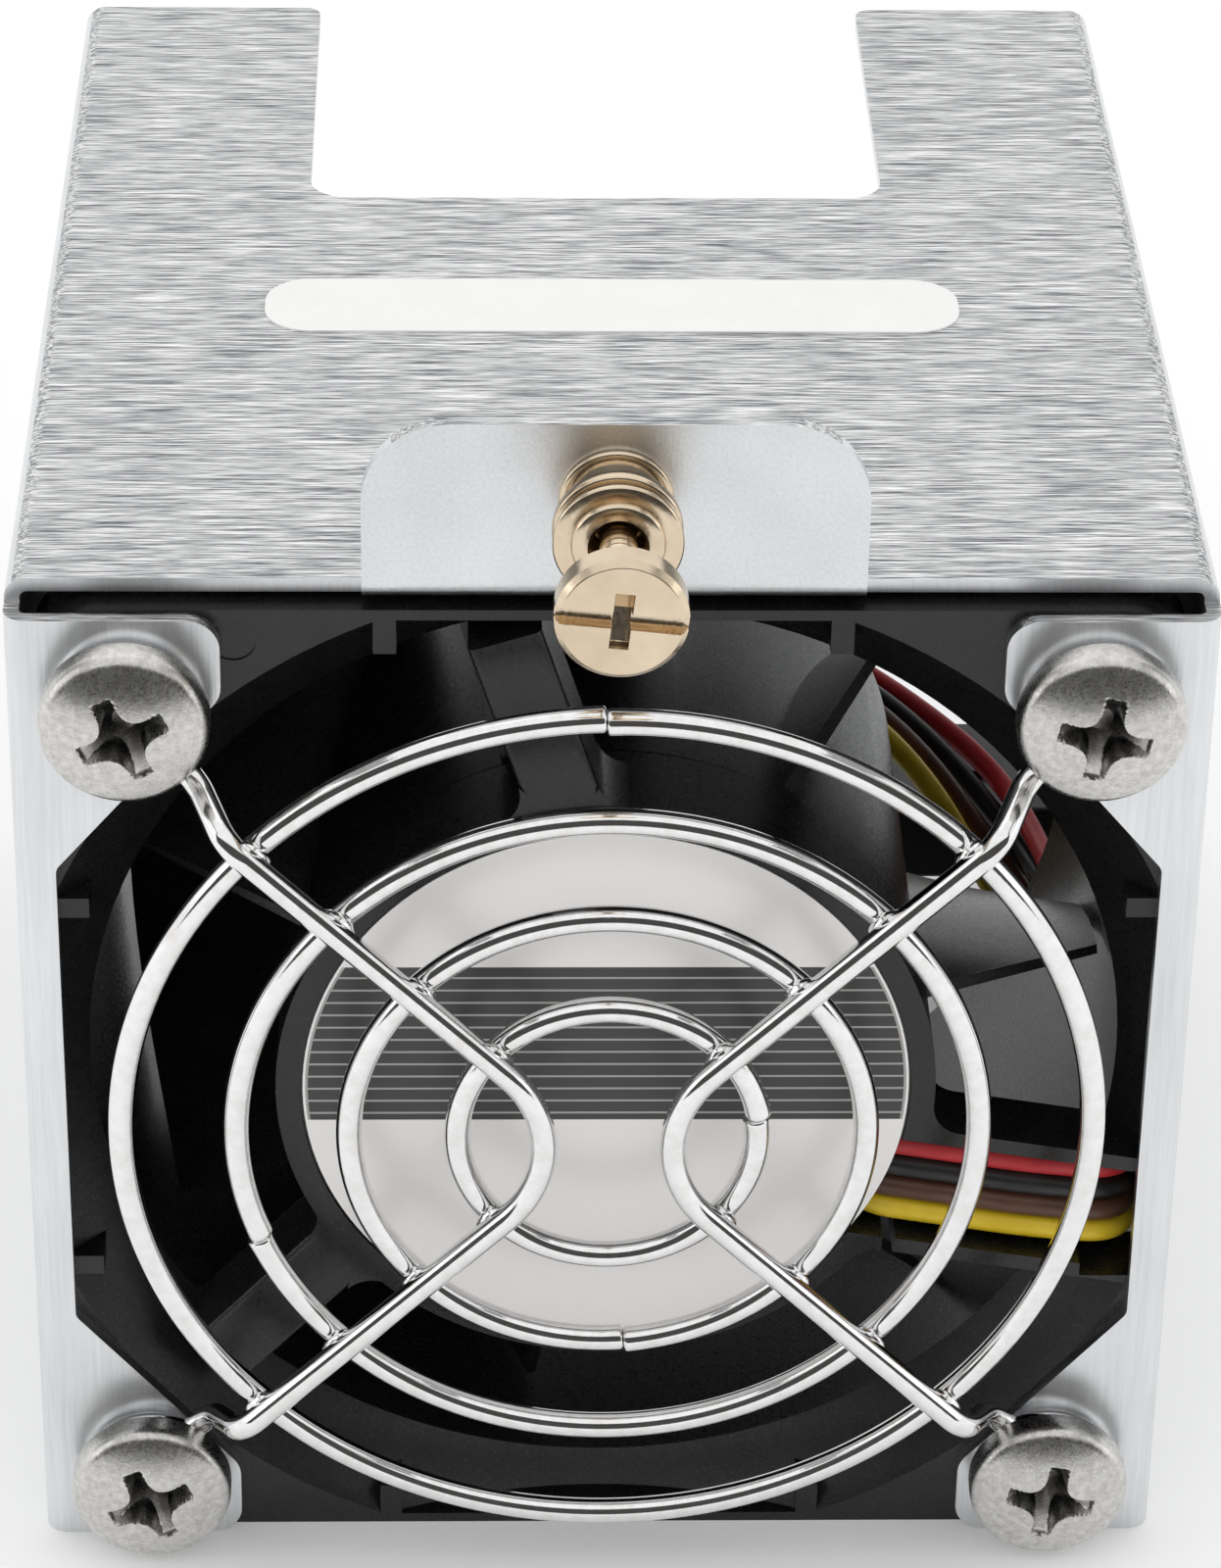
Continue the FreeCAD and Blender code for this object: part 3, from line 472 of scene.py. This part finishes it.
def roundedPath(points, radii, turnStep=4.0):  # a bent wire's line, with an arc at each corner
    path = [points[0]]
    for before, corner, after, radius in zip(points, points[1:], points[2:], radii):
        arrive = (corner - before).normalized()
        leave = (after - corner).normalized()
        turn = arrive.angle(leave)
        inward = (leave - arrive).normalized()
        centre = corner + inward * (radius / math.cos(turn / 2))
        start = corner - arrive * (radius * math.tan(turn / 2)) - centre
        axis = arrive.cross(leave).normalized()
        steps = max(3, int(math.degrees(turn) / turnStep))
        for step in range(steps + 1):
            path.append(centre + Matrix.Rotation(turn * step / steps, 3, axis) @ start)
    return path + [points[-1]]


def evenly(path, step):  # the same path with points no further apart than step
    fine = [path[0]]
    for here, there in zip(path, path[1:]):
        parts = max(1, math.ceil((there - here).length / step))
        fine += [here.lerp(there, part / parts) for part in range(1, parts + 1)]
    return fine


guard = {
    "screwAt": 25.0, "eyeRadius": 3.25, "eyeSteps": 120, "stayOffset": 0.5, "apexRadius": 6.55,
    "flat": 2.2, "ramp": 2.4, "bend": 2.2, "stayStep": 0.8, "weldSink": 0.1, "ringSteps": 360, "sharp": 60,
    "seams": {1: 8.3, 2: 274.3, 3: 199.8, 4: 90.9},  # degrees at which each ring's ends meet
    "jointEnds": (0.02, 0.06, 0.13, 0.25), "misfit": 0.09, "misfitRun": 4.0,
    "endRound": 0.3, "endRun": 0.05, "collar": 0.03, "collarRun": 0.8,
}
ringLow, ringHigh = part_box("guard_ring_1")
wireRadius = (ringHigh.y - ringLow.y) / 2 / mm
ringY = ((ringHigh.y + ringLow.y) / 2 - earY) / mm
stayY = ringY - 2 * wireRadius + guard["weldSink"]
slant = math.sqrt(0.5)
stayShift = guard["stayOffset"] * slant


def ringRadius(number):
    low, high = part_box("guard_ring_%d" % number)
    return (high.x - low.x) / 2 / mm - wireRadius


def guardRing(number):  # an open hoop whose two ends meet a little out of line
    radius = ringRadius(number)
    around = 2 * math.pi * radius
    ends = guard["jointEnds"]
    steps = [around * step / guard["ringSteps"] for step in range(1, guard["ringSteps"])]
    middle = [step for step in steps if ends[-1] < step < around - ends[-1]]
    run = [*ends, *middle, *[around - end for end in reversed(ends)]]

    def gap(distance):
        return min(distance, around - distance)

    def thickness(index):  # rounded ends and a slightly upset collar
        near = gap(run[index])
        thinned = guard["endRound"] * math.exp(-near / guard["endRun"])
        swollen = guard["collar"] * math.exp(-(near / guard["collarRun"]) ** 2)
        return wireRadius * (1 - thinned + swollen)

    path = []
    for distance in run:
        way = math.radians(guard["seams"][number]) + distance / radius
        side = 1 if distance < around / 2 else -1
        reach = radius + side * guard["misfit"] * math.exp(-gap(distance) / guard["misfitRun"])
        path.append(Vector((reach * math.cos(way), ringY, reach * math.sin(way))))
    shape = tubeMesh(path, thickness)
    obj = addMesh("guardRing%d" % number, shape, "chrome_wire", "module", guard["sharp"])
    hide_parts("guard_ring_%d" % number)


def stayCorners(side):
    start = guard["screwAt"] - slant * math.sqrt(guard["eyeRadius"] ** 2 - guard["stayOffset"] ** 2)
    rampEnd = guard["flat"] + guard["ramp"]
    upper = []
    for distance, y in ((0, -wireRadius), (guard["flat"], -wireRadius), (rampEnd, stayY)):
        height = start - distance * slant
        upper.append(Vector((side * (height + stayShift), y, height - stayShift)))
    lower = [Vector((corner.x, corner.y, -corner.z)) for corner in reversed(upper)]
    return upper + [Vector((side * 2 * stayShift, stayY, 0))] + lower


def guardStay(side, word):
    bends = [guard["bend"], guard["bend"], guard["apexRadius"], guard["bend"], guard["bend"]]
    path = evenly(roundedPath(stayCorners(side), bends), guard["stayStep"])
    shapes = [tubeMesh(path, lambda index: wireRadius)]
    for end in (1, -1):
        loop = []
        for along, rise in circle(guard["eyeRadius"], guard["eyeSteps"]):
            x, z = guard["screwAt"] + along, guard["screwAt"] + rise
            loop.append(Vector((side * x, -wireRadius, end * z)))
        shapes.append(tubeMesh(loop, lambda index: wireRadius, closed=True))
    obj = addMesh("guardStay" + word, joined(shapes), "chrome_wire", "module", guard["sharp"])
    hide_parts("guard_stay_" + word.lower())


weld = {"along": 1.15, "across": 0.85, "deep": 0.62, "rough": 0.16, "lump": 1.7, "stride": 3.1,
        "rows": 10, "columns": 16, "sharp": 180}


def weldNugget(centre, heading, seed):  # a lumpy pad of melted metal between two crossed wires
    beside = Vector((-heading.z, 0, heading.x))
    start = Vector((seed * weld["stride"], 0, 0))
    rows, columns = weld["rows"], weld["columns"]
    corners, faces = [], []
    for row in range(rows + 1):
        tilt = math.pi * row / rows
        for along, across in circle(math.sin(tilt), columns):
            way = Vector((along, across, math.cos(tilt)))
            swell = 1 + weld["rough"] * noise.noise(way * weld["lump"] + start)
            place = heading * (way.x * weld["along"]) + beside * (way.y * weld["across"])
            corners.append(centre + (place + Vector((0, way.z * weld["deep"], 0))) * swell)
    for row in range(rows):
        faces += band(row * columns, (row + 1) * columns, columns)
    return corners, faces


def guardWelds():
    shapes = []
    for number in guard["seams"]:
        radius = ringRadius(number)
        height = (math.sqrt(2 * radius ** 2 - 4 * stayShift ** 2) - 2 * stayShift) / 2
        for side in (-1, 1):
            for end in (-1, 1):
                centre = Vector((side * (height + 2 * stayShift), (ringY + stayY) / 2, end * height))
                heading = Vector((side, 0, end)).normalized()
                shapes.append(weldNugget(centre, heading, number + 5 * side + 11 * end))
    addMesh("guardWelds", joined(shapes), "chrome_wire", "module", weld["sharp"])


for number in guard["seams"]:
    guardRing(number)
guardStay(-1, "Left")
guardStay(1, "Right")
guardWelds()
print("guard")


screw = {
    "radius": 4.4, "seat": -1.4, "rim": 1.0, "edge": 0.9, "crown": 0.75,
    "shank": 2.4, "end": 6.8, "point": 1.0, "thread": 0.7, "threadDepth": 0.3,
    "armHalf": 0.56, "armLength": 2.45, "fillet": 1.3, "depth": 2.5, "draft": 0.16,
    "floorEnd": 0.25, "floorSlope": 1.25,  # the recess floor at an arm's end, and its fall inwards
    "sectors": 144, "rings": 76, "crowding": 0.9, "sharp": 38,
    "turns": {(-1, 1): 26.0, (1, 1): -12.0, (-1, -1): 25.0, (1, -1): -11.0},
}


def smoothStep(value, low, high):
    share = min(1.0, max(0.0, (value - low) / (high - low)))
    return share * share * (3 - 2 * share)


def turnedBack(x, z, degrees):
    cosine, sine = math.cos(math.radians(degrees)), math.sin(math.radians(degrees))
    return x * cosine + z * sine, z * cosine - x * sine


def headFace(radius):  # depth of the head's face behind its crown, with an edge that runs on from the dome
    edge = screw["edge"]
    faceRadius = screw["radius"] - edge
    dome = (faceRadius ** 2 + screw["crown"] ** 2) / (2 * screw["crown"])
    slope = faceRadius / (dome - edge)
    brink = dome * slope
    if radius <= brink:
        return dome - math.sqrt(dome ** 2 - radius ** 2)
    lean = min(1.0, slope + (radius - brink) / edge)
    return dome - (dome - edge) * math.sqrt(1 - slope ** 2) - edge * math.sqrt(1 - lean ** 2)


def crossRecess(x, z):  # a four-armed driver recess with rounded inner corners and a sloping floor
    first, second = [max(abs(beside) - screw["armHalf"], abs(along) - screw["armLength"])
                     for along, beside in ((x, z), (z, x))]
    share = min(1.0, max(0.0, 0.5 + 0.5 * (second - first) / screw["fillet"]))
    gap = second + (first - second) * share - screw["fillet"] * share * (1 - share)
    inside = screw["armLength"] - math.hypot(x, z)
    floor = min(screw["depth"], screw["floorEnd"] + screw["floorSlope"] * inside)
    return max(0.0, floor) * (1 - smoothStep(gap, -screw["draft"], 0.0))


def screwMesh(x, z, turn):
    rings, sectors = screw["rings"], screw["sectors"]
    head, shank, seat, pitch = screw["radius"], screw["shank"], screw["seat"], screw["thread"]
    crownY = seat - screw["rim"] - screw["edge"] - screw["crown"]
    profile = [(head * (ring / rings) ** screw["crowding"], None) for ring in range(1, rings + 1)]
    profile += [(head, seat), (shank, seat)]
    y = seat
    while y < screw["end"] - screw["point"]:  # thread ridges along the shank
        profile += [(shank - screw["threadDepth"], y + pitch * 0.25), (shank, y + pitch * 0.75)]
        y += pitch
    profile += [(shank - screw["point"], screw["end"])]
    corners = [(x, crownY + crossRecess(0, 0), z)]
    for radius, y in profile:
        for dx, dz in circle(radius, sectors):
            depth = y
            if y is None:
                depth = crownY + headFace(radius) + crossRecess(*turnedBack(dx, dz, turn))
            corners.append((x + dx, depth, z + dz))
    return corners, headedFaces(len(profile), sectors)


def mountingScrews():
    shapes = []
    for (side, end), turn in screw["turns"].items():
        shapes.append(screwMesh(side * guard["screwAt"], end * guard["screwAt"], turn))
    obj = addMesh("mountingScrews", joined(shapes), "zinc_screw", "module", screw["sharp"])
    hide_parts("mounting_screws")


mountingScrews()
print("screws")


captiveLow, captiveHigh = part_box("captive_screw")
captive = {
    "radius": (captiveHigh.x - captiveLow.x) / 2 / mm,
    "height": ((captiveLow.z + captiveHigh.z) / 2 - axisZ) / mm,
    "front": (captiveLow.y - earY) / mm, "tip": (captiveHigh.y - earY) / mm,
    "headLength": 1.7, "chamfer": 0.32, "edge": 0.1,
    "shank": 0.95, "neckFrom": 0.3, "neckGroove": 0.08, "pitch": 0.5,
    "thread": 1.45, "threadLength": 3.45, "threadDepth": 0.28, "point": 0.6, "pointTaper": 0.5,
    "slotHalf": 0.38, "slotDepth": 0.65, "soft": 0.05, "turn": -6.0,
    "crossHalf": 0.43, "crossReach": 1.5, "crossDepth": 1.5, "crossTaper": 0.62,
    "sectors": 288, "rings": 120, "sharp": 35,
}


def captiveCut(x, z):  # depth of the slot and of the shorter cross arm
    slot = 1 - smoothStep(abs(z) - captive["slotHalf"], -captive["soft"], captive["soft"])
    gap = max(abs(x) - captive["crossHalf"], abs(z) - captive["crossReach"])
    cross = 1 - smoothStep(gap, -captive["soft"], captive["soft"])
    floor = captive["crossDepth"] * (1 - captive["crossTaper"] * abs(z) / captive["crossReach"])
    return max(slot * captive["slotDepth"], cross * floor)


def captiveProfile():  # radius, depth, and whether the driver's cut reaches there
    head, shank, thread = [captive[key] for key in ("radius", "shank", "thread")]
    pitch, edge = captive["pitch"], captive["edge"]
    back = captive["front"] + captive["headLength"]
    threadStart = captive["tip"] - captive["threadLength"]
    profile = []
    for ring in range(1, captive["rings"] + 1):
        radius = head * ring / captive["rings"]
        beyond = max(0.0, radius - head + captive["chamfer"])
        profile.append((radius, captive["front"] + beyond, True))
    profile += [(head, back - edge, False), (head - edge, back, False), (shank, back, False)]
    y = back + captive["neckFrom"]
    while y < threadStart:  # fine grooves on the neck
        profile += [(shank, y, False), (shank - captive["neckGroove"], y + pitch / 2, False)]
        y += pitch
    y = threadStart
    while y < captive["tip"] - captive["point"]:
        profile += [(thread - captive["threadDepth"], y, False), (thread, y + pitch / 2, False)]
        y += pitch
    return profile + [(thread - captive["pointTaper"], captive["tip"], False)]


def captiveScrew():
    face, sectors = captive["front"], captive["sectors"]
    profile = captiveProfile()
    corners = [(0, face + captiveCut(0, 0), captive["height"])]
    for radius, y, cut in profile:
        for dx, dz in circle(radius, sectors):
            depth = max(y, face + captiveCut(*turnedBack(dx, dz, captive["turn"]))) if cut else y
            corners.append((dx, depth, captive["height"] + dz))
    shape = corners, headedFaces(len(profile), sectors)
    obj = addMesh("captiveScrew", shape, "nickel", "captive_screw", captive["sharp"])
    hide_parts("captive_screw")


captiveScrew()
print("captive screw")


ferruleLow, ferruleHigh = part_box("captive_ferrule")
ferrule = {
    "front": (ferruleLow.y - earY) / mm, "back": (ferruleHigh.y - earY) / mm,
    "radius": (ferruleHigh.x - ferruleLow.x) / 2 / mm, "round": 0.12,
    "spigot": 0.8, "foot": 2.95, "footLength": 0.5, "neck": 2.6, "ringEnd": 2.1, "ringStart": 1.35,
    "groove": 2.95, "lip": 0.7, "boss": 2.4, "bossStep": 0.28,
    "throat": 1.55, "throatDepth": 0.5, "bore": 1.25, "boreEnd": 2.2, "clear": 1.53,
    "sectors": 120, "sharp": 50,
}


def ferruleProfile():  # radius and depth from the spigot's back, round the outside and back through the bore
    front, back, rim, soft = [ferrule[key] for key in ("front", "back", "radius", "round")]
    neck, wide, groove, boss = [ferrule[key] for key in ("neck", "foot", "groove", "boss")]
    throat, bore, clear = [ferrule[key] for key in ("throat", "bore", "clear")]
    ringEnd, ringStart, lip = [front + ferrule[key] for key in ("ringEnd", "ringStart", "lip")]
    face, throatEnd, boreEnd = [front + ferrule[key] for key in ("bossStep", "throatDepth", "boreEnd")]
    foot = back - ferrule["spigot"]
    footFront = foot - ferrule["footLength"]
    return [
        (neck, back), (neck, foot),
        (wide - soft, foot), (wide, foot - soft), (wide, footFront + soft), (wide - soft, footFront),
        (neck, footFront), (neck, ringEnd),
        (rim - soft, ringEnd), (rim, ringEnd - soft), (rim, ringStart + soft), (rim - soft, ringStart),
        (groove, ringStart), (groove, lip),
        (rim - soft, lip), (rim, lip - soft), (rim, face + soft), (rim - soft, face),
        (boss, face), (boss - soft / 2, front + soft), (boss - soft * 1.5, front),
        (throat, front), (bore, throatEnd), (bore, boreEnd), (clear, boreEnd), (clear, back),
    ]


def captiveFerrule():
    sectors = ferrule["sectors"]
    profile = ferruleProfile()
    corners, faces = [], []
    for ring, (radius, y) in enumerate(profile):
        corners += [(dx, y, captive["height"] + dz) for dx, dz in circle(radius, sectors)]
        faces += band(ring * sectors, (ring + 1) % len(profile) * sectors, sectors)
    obj = addMesh("captiveFerrule", (corners, faces), "nickel", "module", ferrule["sharp"])
    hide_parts("captive_ferrule")


captiveFerrule()
print("ferrule")


lead = {"diameter": 1.35, "pitch": 1.45, "boardGap": 0.15,
        "plugPitch": 2.54, "plugSetback": 16.7, "plugEntry": 16.8, "wireEnd": 1.0}
boardFront = (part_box("circuit_board")[0].y - earY) / mm
plugLow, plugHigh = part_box("connector_terminals")
plugZ = ((plugLow.z + plugHigh.z) / 2 - axisZ) / mm
sideX = fanHigh.x / mm - lead["diameter"] / 2
fanDepth = fanRear - fanFront


def leadRoute(number):  # the wire's line from the board to the plug, its points listed one by one
    lift = lead["pitch"] * number
    back = lead["pitch"] * (3 - number)
    rowY = fanRear + lead["plugSetback"] + (1.5 - number) * lead["plugPitch"]
    return [(13.0, boardFront - lead["boardGap"], -4.05 - lift),
            (13.5, fanFront + 1.5, -4.15 - lift),
            (18.4, fanFront + 1.4, -4.95 - lift),
            (24.2, fanFront + 1.45, -6.0 - lift),
            (sideX - 0.2, fanFront + 2.2, -6.9 - lift),
            (sideX, fanFront + fanDepth * 0.21, -7.6 - lift),
            (sideX + 0.03, fanFront + fanDepth * 0.45, -8.8 - lift),
            (sideX, fanFront + fanDepth * 0.74, -10.4 - lift),
            (sideX - 0.2, fanRear - 0.6, -12.6 - lift),
            (sideX - 2.9, fanRear + 4.4 + 1.5 * back, -11.2 - 1.5 * lift),
            (19.6, fanRear + 5.0 + 1.35 * back, -4.9),
            (11.0, fanRear + 5.5 + 1.2 * back, 0.7),
            (3.0, fanRear + 6.8 + 1.25 * back, -1.4),
            (0.6, fanRear + 9.0 + 1.4 * back, -8.4),
            (4.2, (fanRear + 9.0 + 1.4 * back + rowY) / 2, -14.8),
            (lead["plugEntry"] - 4.0, rowY, plugZ),
            (lead["plugEntry"] + lead["wireEnd"], rowY, plugZ)]


def leadCurve(number, colour):
    curve = bpy.data.curves.new("lead" + colour.title(), "CURVE")
    curve.dimensions = "3D"
    curve.bevel_depth = lead["diameter"] / 2 * mm
    curve.bevel_resolution = 6
    curve.resolution_u = 10
    curve.use_fill_caps = True
    points = [spot(*corner) for corner in leadRoute(number)]
    spline = curve.splines.new("NURBS")
    spline.points.add(len(points) - 1)
    for point, place in zip(spline.points, points):
        point.co = (*place, 1)
    spline.order_u = 3
    spline.use_endpoint_u = True
    obj = addObject("lead" + colour.title(), curve)
    dress(obj, colour + "_insulation")
    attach(obj, "module")
    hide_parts("lead_" + colour)
    length = sum(spline.calc_length() for spline in curve.splines)
    return length


lengths = [round(leadCurve(number, colour) / mm, 1) for number, colour in enumerate(wireColours)]
print("leads", lengths)


studio = {"sky": (1.0, 1.0, 1.0), "floorSize": 3.0, "floorShade": 0.85, "floorVary": 0.01,
          "floorPatch": 0.01, "floorLift": 0.10, "floorSmooth": 0.7, "floorRough": 0.8, "floorGloss": 0.1}


def addPlane(name, corners):
    mesh = bpy.data.meshes.new(name)
    mesh.from_pydata(corners, [], [(0, 1, 2, 3)])
    return addObject(name, mesh)


def seenRays(place, *kinds):  # one for the rays named, such as those that the camera sends
    return sum(place.node("LightPath", "Is %s Ray" % kind) for kind in kinds)


def floorPlane():
    reach = studio["floorSize"]
    base = cadBox[0].z
    corners = [(-reach, -reach, base), (reach, -reach, base), (reach, reach, base), (-reach, reach, base)]
    obj = addPlane("floor", corners)
    material, shader, place = startMaterial("floor")
    tone = cloud(place, studio["floorPatch"], detail=2.0)
    shade, lift = studio["floorShade"], studio["floorLift"]
    seen = seenRays(place, "Camera", "Glossy", "Transmission")
    feed(shader, {
        "Base Color": blend(ranged(tone), (shade,) * 3, (shade + studio["floorVary"],) * 3),
        "Roughness": ranged(tone, studio["floorSmooth"], studio["floorRough"]),
        "Specular IOR Level": studio["floorGloss"],
        "Emission Color": blend(seen, (0.0, 0.0, 0.0), (lift,) * 3),
        "Emission Strength": 1.0,
    })
    obj.data.materials.append(material)


def worldLight():  # white all round
    world = bpy.data.worlds.new("studio")
    bpy.context.scene.world = world
    world.use_nodes = True
    plug(world.node_tree, world.node_tree.nodes["Background"].inputs["Color"], studio["sky"])


cards = {  # dark cards that only glossy rays meet, for contrast in the bright metal
    "front": {"at": (0.0, -0.42, 0.20), "half": (0.80, 0.20), "facing": 0.0, "shade": (0.07, 0.068, 0.066)},
    "left": {"at": (-0.80, 0.0, 0.62), "half": (0.60, 0.36), "facing": 90.0, "shade": (0.36, 0.36, 0.36)},
    "right": {"at": (0.80, 0.0, 0.62), "half": (0.60, 0.36), "facing": 90.0, "shade": (0.36, 0.36, 0.36)},
}


def darkCard(name, look):
    wide, tall = look["half"]
    obj = addPlane(name + "Card", [(-wide, 0, -tall), (wide, 0, -tall), (wide, 0, tall), (-wide, 0, tall)])
    obj.location = look["at"]
    obj.rotation_euler = (0, 0, math.radians(look["facing"]))
    obj.visible_camera = False
    obj.visible_diffuse = False
    obj.visible_transmission = False
    obj.visible_shadow = False
    material, shader = startMaterial(name + "Card")[:2]
    feed(shader, {
        "Base Color": (0.0, 0.0, 0.0),
        "Specular IOR Level": 0.0,
        "Emission Color": look["shade"],
        "Emission Strength": 1.0,
    })
    obj.data.materials.append(material)


lamps = {
    "overhead": {"at": (-0.1, 0.30, 0.75), "size": 0.6, "power": 0.25},
    "left": {"at": (-0.6, -0.12, 0.30), "size": 0.40, "power": 0.4},
    "right": {"at": (0.6, -0.10, 0.28), "size": 0.40, "power": 0.3},
}


def addLamp(name, look):
    data = bpy.data.lights.new(name, "AREA")
    data.shape = "SQUARE"
    data.size = look["size"]
    data.energy = look["power"]
    obj = addObject(name, data)
    obj.location = look["at"]
    aim = Vector((0, 0, axisZ)) - obj.location
    obj.rotation_euler = aim.to_track_quat("-Z", "Y").to_euler()


camera = {"at": (-7.617, -236.845, 170.434), "turn": (59.2512, -0.8335, -1.2958),
          "sensor": 36, "lens": 124.13, "shift": -0.1, "clip": 0.01}


def addCamera():
    data = bpy.data.cameras.new("camera")
    data.sensor_width = camera["sensor"]
    data.sensor_fit = "AUTO"
    data.lens = camera["lens"]
    data.shift_y = camera["shift"]
    data.clip_start = camera["clip"]
    obj = addObject("camera", data)
    obj.location = spot(*camera["at"])
    obj.rotation_euler = [math.radians(angle) for angle in camera["turn"]]
    bpy.context.scene.camera = obj


floorPlane()
worldLight()
for name, look in cards.items():
    darkCard(name, look)
for name, look in lamps.items():
    addLamp(name, look)
addCamera()
bpy.context.scene.view_settings.view_transform = "Standard"
print("studio")
